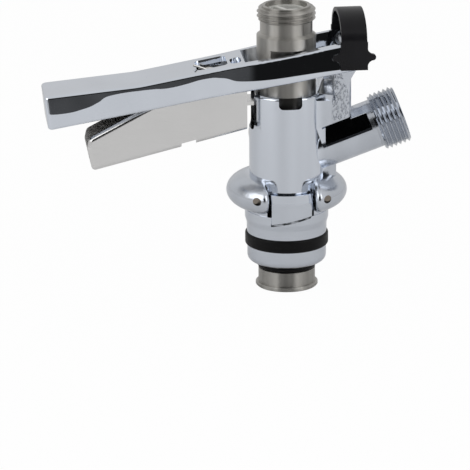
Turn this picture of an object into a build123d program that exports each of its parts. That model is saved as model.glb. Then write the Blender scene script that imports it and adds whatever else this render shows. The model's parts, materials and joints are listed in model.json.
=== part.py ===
from build123d import *
import os
from math import acos, atan2, cos, degrees, hypot, radians, sin, sqrt, tan

# Keg coupler for a sliding-lug keg neck, in millimetres.
# The origin lies on the barrel's axis, on the plane where the body casting meets the keg spigot.
# +Z is up, the lever points to -X, the gas inlet to +X and the relief valve to +Y.

# ---------------------------------------------------------------- clearances
running_play = 0.06  # radial play of a shaft in its bore
fitted_play = 0.03  # radial play between fixed pieces that are fitted together
side_play = 0.3  # gap between moving faces that aren't a fit
seal_play = 0.05  # gap that keeps a rubber seal off the wall it rubs on
stem_play = 0.2  # radial play of the relief valve's stem in its cap

# ---------------------------------------------------------------- probe and barrel
probe_r = 11.5
probe_top = 81.1
barrel_r = 14.5
barrel_top = 47.4
rim_fillet = 1.2

# ---------------------------------------------------------------- keg spigot
sleeve_r = 13.4
sleeve_h = 13.0
spigot_rim_r = 16.3
spigot_rim_h = 3.3
spigot_wall_r = 15.6
spigot_taper_h = 2.4
seal_top = -9.3
seal_h = 5.2
seal_root_r = 14.2
seal_outer_r = 16.25
seal_fillet = 0.9
spigot_end = -21.3
collar_r = 15.4
collar_fillet = 2.6
face_groove_r = 12.6
face_groove_w = 0.6
face_groove_depth = 0.7
lug_w = 15.6
lug_reach = 19.0
lug_top = 9.0
lug_bevel_h = 2.7
lug_bevel_w = 2.5
lug_low_start = -2.2
lug_low_end = 0.9
lug_root_r = 12.4
pin_r = 1.5
pin_x = 13.7
pin_z = 8.0
pin_half_length = 17.5

# ---------------------------------------------------------------- body casting
ring_reach = 23.5
ring_half_h = 6.5
ring_mid = 7.5
ring_seat_r = 16.0
ring_end_fillet = 1.6
window_w = 18.2
window_top = 9.5
window_fillet = 2.2
rim_notch_w = 9.0
rim_notch_depth = 4.4
rim_notch_fillet = 1.6
latch_slot_w = 12.0
latch_slot_low = 33.0
latch_slot_floor = 12.4
latch_slot_fillet = 2.0

# ---------------------------------------------------------------- gas inlet
inlet_tilt = radians(19.7)
inlet_axis_z = 20.2
inlet_length = 47.9
neck_r = 9.5
inlet_thread_r = 11.35
inlet_thread_length = 10.5
thread_chamfer = 0.9
gas_bore_r = 4.6
inlet_mouth_r = 8.0
inlet_mouth_depth = 11.4
core_flat = 6.2
core_ledge = 0.8
core_end = 34.8
web_reach = 19.2
web_half_w = 5.0
web_fillet = 3.0
valve_flange_h = 2.0
valve_bill_length = 9.0
valve_bill_tip_w = 1.6
valve_slit_w = 0.4
valve_wall = 1.0
cage_h = 3.0
cage_wall = 1.4
spoke_w = 1.6

# ---------------------------------------------------------------- hinge bracket and its pin
hinge_x = 24.5
hinge_z = 62.8
hinge_pin_r = 2.5
knuckle_r = 5.0
bracket_half_w = 10.0
bracket_face_x = 24.2
bracket_back_x = 16.8
bracket_above_inlet = 9.0
bracket_shoulder_z = 54.0
bracket_fillet = 2.2

# ---------------------------------------------------------------- lever handle
handle_wall = 2.0
handle_plate = 2.2
grip_half_w = 11.35
grip_low = (-93.0, 37.0)
grip_high = (-94.4, 50.4)
knee = (-58.0, 53.75)
knee_fillet = 60.0
hinge_end_r = 5.6
hinge_half_w = 13.25
swell_start_x = -38.0
swell_mid_x = -19.6
swell_mid_half_w = 12.0
swell_end_x = 14.0
handle_corner_fillet = 2.0
handle_edge_fillet = 1.1
lip_w = 1.2
lip_play = 0.2
lip_end_x = 18.0
trigger_pin_cover = 0.8
fork_start_x = -17.0
fork_fillet = 2.0
window_start_x = -35.3
window_end_x = -23.3
window_half_w = 7.0
window_corner = 2.0
bar_hole_w = 4.2
bar_hole_length = 8.0
bar_hole_y = -3.4
trunnion_r = 3.4
trunnion_z = 60.4
trunnion_play = 0.15
flat_y = 9.0
lift_angle = radians(19.0)

# ---------------------------------------------------------------- trigger
sheet = 1.5
trigger_half_w = 8.8
trigger_pivot = (-29.7, 53.0)
trigger_ear_r = 3.2
trigger_tip = (-76.2, 19.5)
trigger_heel = (-78.1, 28.8)
trigger_brow = (-77.3, 32.5)
trigger_brow_fillet = 2.5
trigger_crest_fillet = 20.0
trigger_crest = (-57.8, 42.6)
trigger_end_x = -16.2
trigger_end_low = 34.1
trigger_end_high = 49.5
fold_fillet = 1.8
latch_half_w = 5.6
latch_top = 44.5
latch_nib_reach = -12.8
relief_x = -38.2
relief_length = 5.5
relief_h = 1.3
trigger_pin_r = 1.5
spring_wire_r = 0.5
spring_coil_r = 3.3
spring_full_turns = 4
spring_pitch = 1.15
spring_plate_leg = 8.3
spring_plate_leg_rise = 20.0

# ---------------------------------------------------------------- hinge clip
clip_half_length = 4.95
clip_wall = 1.5
clip_low = 58.0
clip_seam_z = 69.0
clip_top = 79.0
clip_step = 0.3
nub_reach = 8.4
nub_z = 63.0
nub_tip_r = 1.2
nub_root_h = 4.0
nub_sag = 0.7
clip_pin_seat = 0.8

# ---------------------------------------------------------------- probe details
probe_end = -31.4
outlet_thread_r = 11.4
outlet_thread_length = 5.1
outlet_rim_r = 9.4
outlet_rim_h = 0.7
probe_neck_r = 10.15
probe_neck_length = 4.7
probe_shoulder_h = 1.1
flat_h = 8.4
waist_r = 8.5
waist_top = 30.2
waist_low = -17.6
waist_chamfer = 1.2
land_r = 11.35
tip_r = 11.1
tip_groove_top = -21.1
flange_r = 12.16
flange_h = 1.6
flange_chamfer = 0.4
oring_section = 3.0
bore_oring_section = 2.4
upper_oring_z = 37.4
lower_oring_z = 32.4
beer_way_r = 4.1
outlet_bore_r = 8.1
outlet_bore_depth = 18.1
ball_r = 6.0
ball_cage_depth = 4.9

# ---------------------------------------------------------------- relief valve
relief_z = 28.0
boss_r = 8.8
boss_end = 29.0
chamber_r = 6.0
chamber_start = 17.6
relief_port_r = 2.0
weep_r = 1.7
weep_y = 21.0
cap_r = 8.0
cap_length = 10.5
cap_chamfer = 0.9
cap_skirt_length = 4.0
cap_skirt_wall = 1.0
cap_top_wall = 3.0
stem_r = 2.2
stem_reach = 6.0
stem_tip_chamfer = 0.8
stem_head_r = 4.6
stem_head_h = 1.6
relief_seal_h = 2.0
ring_hole_r = 1.4
ring_hole_above_cap = 3.3
ring_wire_r = 0.5
ring_turn_r = 9.6
ring_gap = 0.02
ramp_angle = 22.0
relief_spring_wire_r = 0.4
relief_spring_coil_r = 3.6
relief_spring_turns = 5

# ---------------------------------------------------------------- worked out from the sizes above
bore_r = probe_r + running_play
hinge = (hinge_x, hinge_z)
probe_clear_r = probe_r + side_play
swell_half_w = probe_clear_r + handle_wall
flat_low = trunnion_z - trunnion_r - trunnion_play
knuckle_half_w = hinge_half_w - handle_wall - side_play
clip_inner_y = hinge_half_w + side_play
clip_outer_y = clip_inner_y + clip_wall
ring_top = ring_mid + ring_half_h
outlet_thread_high = probe_top - outlet_rim_h
outlet_thread_low = outlet_thread_high - outlet_thread_length
probe_neck_low = outlet_thread_low - probe_neck_length
outlet_bore_low = probe_top - outlet_bore_depth
bore_oring_root_r = bore_r - seal_play - bore_oring_section
socket_r = sleeve_r + fitted_play
cap_end = boss_end + cap_length
ring_hole_y = cap_end + ring_hole_above_cap
ring_centre_z = relief_z - ring_turn_r
inlet_axis = (cos(inlet_tilt), 0, sin(inlet_tilt))
inlet_plane = Plane(origin=(0, 0, inlet_axis_z), x_dir=(0, 1, 0), z_dir=inlet_axis)
relief_plane = Plane(origin=(0, 0, relief_z), x_dir=(1, 0, 0), z_dir=(0, 1, 0))
spigot_pin_places = ((-pin_x, pin_z), (pin_x, pin_z))


def tangent_point(point, centre, radius, side):
    """Where a straight edge from point touches a circle; side is +1 above, -1 below."""
    dx, dz = point[0] - centre[0], point[1] - centre[1]
    angle = atan2(dz, dx) % radians(360) - side * acos(radius / hypot(dx, dz))
    return (centre[0] + radius * cos(angle), centre[1] + radius * sin(angle))


def above_inlet(x, height):
    """Height Z of a line that runs along the gas inlet, a distance above its axis."""
    return inlet_axis_z + x * tan(inlet_tilt) + height / cos(inlet_tilt)


def lever_plan(inset):
    """Outline of the lever from above, narrower by inset on each side; it runs past both ends."""
    grip_w = grip_half_w - inset
    hinge_w = hinge_half_w - inset
    with BuildSketch() as plan:
        with BuildLine():
            Polyline((2 * grip_high[0], 0), (2 * grip_high[0], grip_w), (swell_start_x, grip_w))
            Spline(
                (swell_start_x, grip_w),
                (swell_mid_x, swell_mid_half_w - inset),
                (0, swell_half_w - inset),
                (swell_end_x, hinge_w),
                tangents=((1, 0), (1, 0)),
            )
            Polyline((swell_end_x, hinge_w), (4 * hinge_x, hinge_w), (4 * hinge_x, 0))
            mirror(about=Plane.XZ)
        make_face()
    return plan.sketch


# ================================================================ body casting
with BuildPart() as halo_lobes:
    # halo ring of oval section, open at front and back, where the keg lugs stand
    with BuildSketch(Plane.XZ):
        with Locations((barrel_r, ring_mid)):
            Ellipse(ring_reach - barrel_r, ring_half_h)
        Rectangle(socket_r, 2 * ring_top, align=(Align.MIN, Align.CENTER), mode=Mode.SUBTRACT)
    revolve(axis=Axis.Z)
    with BuildSketch(Plane.XY):
        Rectangle(window_w, 3 * ring_reach)
    extrude(amount=ring_top, mode=Mode.SUBTRACT)
    lobe_ends = halo_lobes.faces().filter_by(GeomType.PLANE)
    fillet(lobe_ends.edges().filter_by(GeomType.LINE, reverse=True), ring_end_fillet)

with BuildPart() as body_casting:
    # turned seat under the ring, open like it
    with BuildSketch(Plane.XY):
        Circle(ring_seat_r)
        Rectangle(window_w, 3 * ring_reach, mode=Mode.SUBTRACT)
    extrude(amount=ring_mid)
    add(halo_lobes.part)
    # barrel with a rounded rim
    with BuildSketch(Plane.XY):
        Circle(barrel_r)
    extrude(amount=barrel_top)
    rim = body_casting.edges().filter_by(GeomType.CIRCLE).sort_by(Axis.Z)[-1]
    fillet(rim, rim_fillet)
    # hinge bracket: its lower edge runs along the gas inlet, its top carries the knuckle
    with BuildSketch(Plane.XZ):
        with BuildLine():
            Polyline(
                (0, above_inlet(0, bracket_above_inlet)),
                (bracket_face_x, above_inlet(bracket_face_x, bracket_above_inlet)),
                (bracket_face_x, bracket_shoulder_z),
                (hinge_x + knuckle_r, hinge_z),
                (hinge_x - knuckle_r, hinge_z),
                (bracket_back_x, bracket_shoulder_z),
                (bracket_back_x, barrel_top - 2 * rim_fillet),
                (0, barrel_top - 2 * rim_fillet),
                close=True,
            )
        make_face()
    extrude(amount=bracket_half_w, both=True)
    bracket_edges = body_casting.edges().filter_by(Axis.Z).filter_by_position(
        Axis.X, bracket_back_x - 0.1, bracket_face_x + 0.1
    )
    fillet(bracket_edges, bracket_fillet)
    with BuildSketch(Plane.XZ):
        with Locations(hinge):
            Circle(knuckle_r)
    extrude(amount=knuckle_half_w, both=True)
    # web that ties the gas inlet to the ring
    with BuildSketch(Plane.XY.offset(ring_mid)):
        with Locations((web_reach / 2, 0)):
            RectangleRounded(web_reach, 2 * web_half_w, web_fillet)
    extrude(amount=inlet_axis_z - ring_mid)
    # gas inlet: a round neck with its hose thread
    with BuildSketch(inlet_plane):
        Circle(neck_r)
    extrude(amount=inlet_length)
    with BuildSketch(inlet_plane.offset(inlet_length - inlet_thread_length)):
        Circle(inlet_thread_r)
    extrude(amount=inlet_thread_length)
    thread_rims = body_casting.edges().filter_by(GeomType.CIRCLE).filter_by(
        lambda edge: abs(edge.radius - inlet_thread_r) < 0.01
    )
    chamfer(thread_rims, thread_chamfer)
    # cored flats on both sides of the neck, from a ledge near its axis up to the bracket
    with BuildSketch(inlet_plane.offset(core_end)):
        for side in (-1, 1):
            with Locations((side * (core_flat + neck_r / 2), core_ledge)):
                Rectangle(neck_r, bracket_above_inlet - core_ledge, align=(Align.CENTER, Align.MIN))
    extrude(amount=barrel_r - core_end, mode=Mode.SUBTRACT)
    # relief valve boss
    with BuildSketch(relief_plane):
        Circle(boss_r)
    extrude(amount=boss_end)
    # bore for the probe and socket for the spigot's sleeve
    with BuildSketch(Plane.XY):
        Circle(bore_r)
    extrude(amount=barrel_top, mode=Mode.SUBTRACT)
    with BuildSketch(Plane.XY):
        Circle(socket_r)
    extrude(amount=sleeve_h, mode=Mode.SUBTRACT)
    # windows through the barrel for the keg lugs
    with BuildSketch(Plane.XZ):
        Rectangle(window_w, 2 * window_top)
        fillet(vertices(), window_fillet)
    extrude(amount=ring_reach, both=True, mode=Mode.SUBTRACT)
    # notches in the rim, in line with the lever's trunnions
    with BuildSketch(Plane.XZ):
        with Locations((0, barrel_top)):
            Rectangle(rim_notch_w, 2 * rim_notch_depth)
        fillet(vertices(), rim_notch_fillet)
    extrude(amount=ring_reach, both=True, mode=Mode.SUBTRACT)
    # flat-bottomed slot that the trigger's latch slides in
    with BuildSketch(Plane.YZ.offset(-latch_slot_floor)):
        with Locations((0, latch_slot_low)):
            Rectangle(latch_slot_w, barrel_top, align=(Align.CENTER, Align.MIN))
        fillet(vertices().group_by(Axis.Y)[0], latch_slot_fillet)
    extrude(amount=-barrel_r, mode=Mode.SUBTRACT)
    # cross holes for the two pins that hold the spigot
    with BuildSketch(Plane.XZ):
        with Locations(*spigot_pin_places):
            Circle(pin_r + fitted_play)
    extrude(amount=ring_reach, both=True, mode=Mode.SUBTRACT)
    # hinge pin bore through the knuckle
    with BuildSketch(Plane.XZ):
        with Locations(hinge):
            Circle(hinge_pin_r + fitted_play)
    extrude(amount=knuckle_half_w, both=True, mode=Mode.SUBTRACT)
    # gas way and the wider mouth that holds the check valve
    with BuildSketch(inlet_plane):
        Circle(gas_bore_r)
    extrude(amount=inlet_length, mode=Mode.SUBTRACT)
    with BuildSketch(inlet_plane.offset(inlet_length)):
        Circle(inlet_mouth_r)
    extrude(amount=-inlet_mouth_depth, mode=Mode.SUBTRACT)
    # relief valve: port from the barrel, chamber and weep hole
    with BuildSketch(relief_plane):
        Circle(relief_port_r)
    extrude(amount=boss_end, mode=Mode.SUBTRACT)
    with BuildSketch(relief_plane.offset(chamber_start)):
        Circle(chamber_r)
    extrude(amount=boss_end - chamber_start, mode=Mode.SUBTRACT)
    with BuildSketch(Plane(origin=(0, weep_y, relief_z), z_dir=(-1, 0, 1))):
        Circle(weep_r)
    extrude(amount=2 * boss_r, mode=Mode.SUBTRACT)

# ================================================================ keg spigot and its pins
with BuildPart() as keg_lug:
    # one lug: a turned segment, squared off at the sides, with a slanting lower edge
    with BuildSketch(Plane.XZ):
        with BuildLine():
            Polyline(
                (lug_root_r, -spigot_rim_h),
                (lug_reach, -spigot_rim_h),
                (lug_reach, lug_top - lug_bevel_h),
                (lug_reach - lug_bevel_w, lug_top),
                (lug_root_r, lug_top),
                close=True,
            )
        make_face()
    revolve(axis=Axis.Z)
    with BuildSketch(Plane.XZ):
        with BuildLine():
            Polyline(
                (-lug_w / 2, lug_low_start),
                (lug_w / 2, lug_low_end),
                (lug_w / 2, lug_top),
                (-lug_w / 2, lug_top),
                close=True,
            )
        make_face()
    extrude(amount=lug_reach, mode=Mode.INTERSECT)

with BuildPart() as keg_spigot:
    with BuildSketch(Plane.XZ):
        with BuildLine():
            Polyline(
                (bore_r, sleeve_h - fitted_play),
                (sleeve_r, sleeve_h - fitted_play),
                (sleeve_r, 0),
                (spigot_rim_r, 0),
                (spigot_rim_r, -spigot_rim_h),
                (spigot_wall_r, -spigot_rim_h - spigot_taper_h),
                (spigot_wall_r, seal_top),
                (seal_root_r, seal_top),
                (seal_root_r, seal_top - seal_h),
                (collar_r, seal_top - seal_h),
                (collar_r, spigot_end),
                (bore_r, spigot_end),
                close=True,
            )
        make_face()
        fillet(vertices().sort_by(Axis.Y)[:2].sort_by(Axis.X)[-1], collar_fillet)
    revolve(axis=Axis.Z)
    # turned groove in the end face
    with BuildSketch(Plane.XY.offset(spigot_end)):
        Circle(face_groove_r + face_groove_w)
        Circle(face_groove_r, mode=Mode.SUBTRACT)
    extrude(amount=face_groove_depth, mode=Mode.SUBTRACT)
    add(keg_lug.part)
    add(keg_lug.part.rotate(Axis.Z, 180))
    # half-round notches that the cross pins lock into
    with BuildSketch(Plane.XZ):
        with Locations(*spigot_pin_places):
            Circle(pin_r + fitted_play)
    extrude(amount=sleeve_r, both=True, mode=Mode.SUBTRACT)

with BuildPart() as spigot_pins:
    with BuildSketch(Plane.XZ):
        with Locations(*spigot_pin_places):
            Circle(pin_r)
    extrude(amount=pin_half_length, both=True)

with BuildPart() as bottom_seal:
    with BuildSketch(Plane.XZ):
        with Locations((seal_root_r + fitted_play, seal_top - seal_h / 2)):
            Rectangle(
                seal_outer_r - seal_root_r - fitted_play,
                seal_h - 2 * fitted_play,
                align=(Align.MIN, Align.CENTER),
            )
        fillet(vertices().group_by(Axis.X)[-1], seal_fillet)
    revolve(axis=Axis.Z)

# ================================================================ hinge pin and clip
with BuildPart() as hinge_pin:
    with BuildSketch(Plane.XZ):
        with Locations(hinge):
            Circle(hinge_pin_r)
    extrude(amount=clip_inner_y + clip_pin_seat, both=True)

with BuildPart() as hinge_clip:
    # strap that arches over the lever's end
    with BuildSketch(Plane.YZ.offset(hinge_x)):
        with Locations((0, clip_seam_z)):
            Ellipse(clip_outer_y, clip_top - clip_seam_z)
            Ellipse(clip_inner_y, clip_top - clip_seam_z - clip_wall, mode=Mode.SUBTRACT)
            Rectangle(
                3 * clip_outer_y, clip_top, align=(Align.CENTER, Align.MAX), mode=Mode.SUBTRACT
            )
    extrude(amount=clip_half_length, both=True)
    # side plates with a finger nub on each edge
    for plate_side in (-1, 1):
        with BuildSketch(Plane.XZ.offset(plate_side * (clip_inner_y + clip_wall / 2))):
            with BuildLine():
                tip_x = nub_reach - nub_tip_r
                for side in (-1, 1):
                    plate_x = hinge_x + side * (clip_half_length + clip_step)
                    upper = (hinge_x + side * tip_x, nub_z + nub_tip_r)
                    lower = (hinge_x + side * tip_x, nub_z - nub_tip_r)
                    tip = (hinge_x + side * nub_reach, nub_z)
                    Line((hinge_x, clip_seam_z), (plate_x, clip_seam_z))
                    Line((plate_x, clip_seam_z), (plate_x, nub_z + nub_root_h))
                    SagittaArc((plate_x, nub_z + nub_root_h), upper, -side * nub_sag)
                    ThreePointArc(upper, tip, lower)
                    SagittaArc(lower, (plate_x, nub_z - nub_root_h), -side * nub_sag)
                    Polyline((plate_x, nub_z - nub_root_h), (plate_x, clip_low), (hinge_x, clip_low))
            make_face()
        extrude(amount=clip_wall / 2, both=True)
    # blind seats for the ends of the hinge pin
    with BuildSketch(Plane.XZ):
        with Locations(hinge):
            Circle(hinge_pin_r + fitted_play)
    extrude(amount=clip_inner_y + clip_pin_seat, both=True, mode=Mode.SUBTRACT)

# ================================================================ gas check valve
mouth_floor = inlet_length - inlet_mouth_depth
with BuildPart() as gas_check_valve:
    # flange in the mouth, and a duckbill that opens towards the barrel
    with BuildSketch(inlet_plane.offset(mouth_floor)):
        Circle(inlet_mouth_r - fitted_play)
    extrude(amount=valve_flange_h)
    with BuildSketch(inlet_plane.offset(mouth_floor)):
        Circle(gas_bore_r - side_play)
    with BuildSketch(inlet_plane.offset(mouth_floor - valve_bill_length)):
        Ellipse(gas_bore_r - 2 * side_play, valve_bill_tip_w / 2)
    loft()
    with BuildSketch(inlet_plane.offset(mouth_floor)):
        Circle(gas_bore_r - side_play - valve_wall)
    extrude(amount=valve_flange_h, mode=Mode.SUBTRACT)
    with BuildSketch(inlet_plane.offset(mouth_floor)):
        Circle(gas_bore_r - side_play - valve_wall)
    with BuildSketch(inlet_plane.offset(mouth_floor - valve_bill_length)):
        Ellipse(gas_bore_r - 2 * side_play - valve_wall, valve_slit_w / 2)
    loft(mode=Mode.SUBTRACT)

with BuildPart() as gas_valve_cage:
    with BuildSketch(inlet_plane.offset(mouth_floor + valve_flange_h)):
        Circle(inlet_mouth_r - fitted_play)
        Circle(inlet_mouth_r - fitted_play - cage_wall, mode=Mode.SUBTRACT)
        with PolarLocations(0, 2):
            Rectangle(2 * inlet_mouth_r - cage_wall, spoke_w)
        with Locations((0, 0)):
            Rectangle(spoke_w, 2 * inlet_mouth_r - cage_wall)
    extrude(amount=cage_h)

# ================================================================ lever handle
plate_end = tangent_point(knee, hinge, hinge_end_r, 1)
plate_angle = atan2(plate_end[1] - knee[1], plate_end[0] - knee[0])
plate_plane = Plane(
    origin=(knee[0], 0, knee[1]),
    x_dir=(cos(plate_angle), 0, sin(plate_angle)),
    z_dir=(-sin(plate_angle), 0, cos(plate_angle)),
)
swing_shift = hinge_x * (1 - cos(lift_angle)) + hinge_end_r * sin(lift_angle)


def along_plate(x):
    """Distance from the knee, along the lever's sloping plate, of a place at X."""
    return (x - knee[0]) / cos(plate_angle)


with BuildPart() as lever_hollow:
    # the space under the lever's plate and between its walls, open below and at the hinge end
    with BuildSketch(Plane.XZ):
        with BuildLine():
            ceiling_knee = (knee[0], knee[1] - handle_plate)
            ceiling_end = tangent_point(ceiling_knee, hinge, hinge_end_r - handle_plate, 1)
            Polyline(
                (grip_high[0] + handle_wall, 0),
                (grip_high[0] + handle_wall, grip_high[1] - handle_plate),
                ceiling_knee,
                ceiling_end,
                (2 * hinge_x, ceiling_end[1]),
                (2 * hinge_x, 0),
                close=True,
            )
        make_face()
    extrude(amount=swell_half_w, both=True)
    with BuildSketch(Plane.XY):
        add(lever_plan(handle_wall))
    extrude(amount=2 * hinge_z, mode=Mode.INTERSECT)

with BuildPart() as lever_handle:
    # side view: straight edges that run out tangent to the rounded hinge end
    with BuildSketch(Plane.XZ):
        with BuildLine():
            floor_end = tangent_point(grip_low, hinge, hinge_end_r, -1)
            Polyline(floor_end, grip_low, grip_high)
            FilletPolyline(grip_high, knee, plate_end, radius=knee_fillet)
            ThreePointArc(plate_end, (hinge_x + hinge_end_r, hinge_z), floor_end)
        make_face()
    extrude(amount=2 * swell_half_w, both=True)
    with BuildSketch(Plane.XY):
        add(lever_plan(0))
    extrude(amount=2 * hinge_z, mode=Mode.INTERSECT)
    end_corners = lever_handle.faces().sort_by(Axis.X)[0].edges().filter_by(Axis.Y, reverse=True)
    fillet(end_corners, handle_corner_fillet)
    top_rim = lever_handle.faces().filter_by(lambda face: face.normal_at().Z > 0.9).edges()
    fillet(top_rim.filter_by(Axis.Y, reverse=True), handle_edge_fillet)
    add(lever_hollow.part, mode=Mode.SUBTRACT)
    # fork for the probe, with a narrow lip along each wall
    with BuildSketch(Plane.XY.offset(hinge_z)):
        add(lever_plan(handle_wall + lip_w))
        with Locations(((fork_start_x + lip_end_x) / 2, 0)):
            Rectangle(lip_end_x - fork_start_x, 4 * swell_half_w, mode=Mode.INTERSECT)
        with Locations((lip_end_x, 0)):
            Rectangle(
                2 * hinge_end_r + hinge_x,
                2 * (hinge_half_w - handle_wall),
                align=(Align.MIN, Align.CENTER),
            )
        SlotOverall(2 * (probe_r + lip_play + swing_shift), 2 * (probe_r + lip_play))
    extrude(amount=2 * hinge_end_r, both=True, mode=Mode.SUBTRACT)
    # window over the trigger's spring, and a slot in the bar beside it
    window_mid = along_plate((window_start_x + window_end_x) / 2)
    with BuildSketch(plate_plane):
        with Locations((window_mid, 0)):
            RectangleRounded(window_end_x - window_start_x, 2 * window_half_w, window_corner)
        with Locations((along_plate((window_end_x + fork_start_x) / 2), bar_hole_y)):
            SlotOverall(bar_hole_length, bar_hole_w, rotation=90)
    extrude(amount=-2 * handle_plate, mode=Mode.SUBTRACT)
    # trunnions that reach into the probe's flats
    for side in (-1, 1):
        with BuildSketch(Plane.XZ.offset(side * (flat_y + side_play))):
            with Locations((0, trunnion_z)):
                Circle(trunnion_r)
        extrude(amount=side * (swell_half_w - handle_wall / 2 - flat_y - side_play))
    # bores for the hinge pin and blind seats for the trigger's pin
    with BuildSketch(Plane.XZ):
        with Locations(hinge):
            Circle(hinge_pin_r + running_play)
    extrude(amount=2 * swell_half_w, both=True, mode=Mode.SUBTRACT)
    with BuildSketch(Plane.XZ):
        with Locations(trigger_pivot):
            Circle(trigger_pin_r + fitted_play)
    extrude(amount=grip_half_w - trigger_pin_cover, both=True, mode=Mode.SUBTRACT)

# ================================================================ trigger, its pin and spring
with BuildPart() as trigger_pin:
    with BuildSketch(Plane.XZ):
        with Locations(trigger_pivot):
            Circle(trigger_pin_r)
    extrude(amount=grip_half_w - trigger_pin_cover - fitted_play, both=True)

with BuildPart() as trigger:
    # folded channel, open above
    ear_left = tangent_point(trigger_crest, trigger_pivot, trigger_ear_r, 1)
    ear_top = (trigger_pivot[0], trigger_pivot[1] + trigger_ear_r)
    with BuildSketch(Plane.XZ):
        with BuildLine():
            FilletPolyline(
                (trigger_end_x, trigger_end_low),
                trigger_tip,
                trigger_heel,
                trigger_brow,
                trigger_crest,
                ear_left,
                radius=(sheet, trigger_brow_fillet, trigger_brow_fillet, trigger_crest_fillet),
            )
            RadiusArc(ear_left, ear_top, trigger_ear_r)
            Polyline(
                ear_top,
                (trigger_end_x, trigger_end_high),
                (trigger_end_x, trigger_end_low),
            )
        make_face()
    extrude(amount=trigger_half_w, both=True)
    floor_folds = trigger.edges().filter_by(GeomType.LINE).filter_by(
        lambda edge: edge.length > abs(trigger_tip[0] - trigger_end_x) / 2
        and edge.center().Z < trigger_end_low
    )
    fillet(floor_folds, fold_fillet)
    # inside of the channel
    fold_rise = (trigger_end_low - trigger_tip[1]) / (trigger_end_x - trigger_tip[0])
    floor_rise = sheet * sqrt(1 + fold_rise**2)
    front_x = 2 * trigger_heel[0]
    with BuildSketch(Plane.XZ):
        with BuildLine():
            Polyline(
                (front_x, trigger_tip[1] + floor_rise + fold_rise * (front_x - trigger_tip[0])),
                (trigger_end_x - sheet, trigger_end_low + floor_rise - fold_rise * sheet),
                (trigger_end_x - sheet, latch_top),
                (trigger_end_x, latch_top),
                (trigger_end_x, 2 * trigger_end_high),
                (front_x, 2 * trigger_end_high),
                close=True,
            )
        make_face()
    extrude(amount=trigger_half_w - sheet, both=True, mode=Mode.SUBTRACT)
    # the end plate is narrower than the channel, and bends over into a nib at its top
    for side in (-1, 1):
        with BuildSketch(Plane.YZ.offset(trigger_end_x)):
            with Locations((side * latch_half_w, trigger_end_low + floor_rise)):
                Rectangle(
                    trigger_half_w - sheet - latch_half_w,
                    trigger_end_high,
                    align=(Align.MIN if side > 0 else Align.MAX, Align.MIN),
                )
        extrude(amount=-sheet, mode=Mode.SUBTRACT)
    with BuildSketch(Plane.XY.offset(latch_top)):
        with Locations((trigger_end_x - sheet, 0)):
            Rectangle(
                latch_nib_reach - trigger_end_x + sheet,
                2 * latch_half_w,
                align=(Align.MIN, Align.CENTER),
            )
    extrude(amount=-sheet)
    # small relief cut across the fold
    with BuildSketch(Plane.XZ):
        with Locations((relief_x, trigger_tip[1] + fold_rise * (relief_x - trigger_tip[0]))):
            Rectangle(relief_length, 2 * relief_h, rotation=degrees(atan2(fold_rise, 1)))
    extrude(amount=trigger_half_w - sheet, both=True, mode=Mode.SUBTRACT)
    # holes in the ears
    with BuildSketch(Plane.XZ):
        with Locations(trigger_pivot):
            Circle(trigger_pin_r + running_play)
    extrude(amount=trigger_half_w, both=True, mode=Mode.SUBTRACT)

# the coil starts at the leg to the lever's plate, and ends where its wire points down
spring_turns = spring_full_turns + (90 - spring_plate_leg_rise) / 360
spring_half_w = spring_pitch * spring_turns / 2
floor_leg_x = trigger_pivot[0] + spring_coil_r
floor_under_leg = trigger_tip[1] + fold_rise * (floor_leg_x - trigger_tip[0]) + floor_rise
spring_floor_leg = trigger_pivot[1] - floor_under_leg - spring_wire_r
with BuildPart() as level_spring:
    with BuildLine():
        coil = Helix(
            spring_pitch,
            2 * spring_half_w,
            spring_coil_r,
            center=(trigger_pivot[0], -spring_half_w, trigger_pivot[1]),
            direction=(0, 1, 0),
        )
    with BuildSketch(Plane(origin=coil @ 0, z_dir=coil % 0)):
        Circle(spring_wire_r)
    sweep(path=coil, is_frenet=True)
    with BuildSketch(Plane(origin=coil @ 0, z_dir=coil % 0)):
        Circle(spring_wire_r)
    extrude(amount=-spring_plate_leg)
    with BuildSketch(Plane(origin=coil @ 1, z_dir=coil % 1)):
        Circle(spring_wire_r)
    extrude(amount=spring_floor_leg)

trigger_pin_axis = Axis((trigger_pivot[0], 0, trigger_pivot[1]), (0, 1, 0))
with BuildPart() as trigger_spring:
    add(level_spring.part.rotate(trigger_pin_axis, spring_plate_leg_rise))

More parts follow.
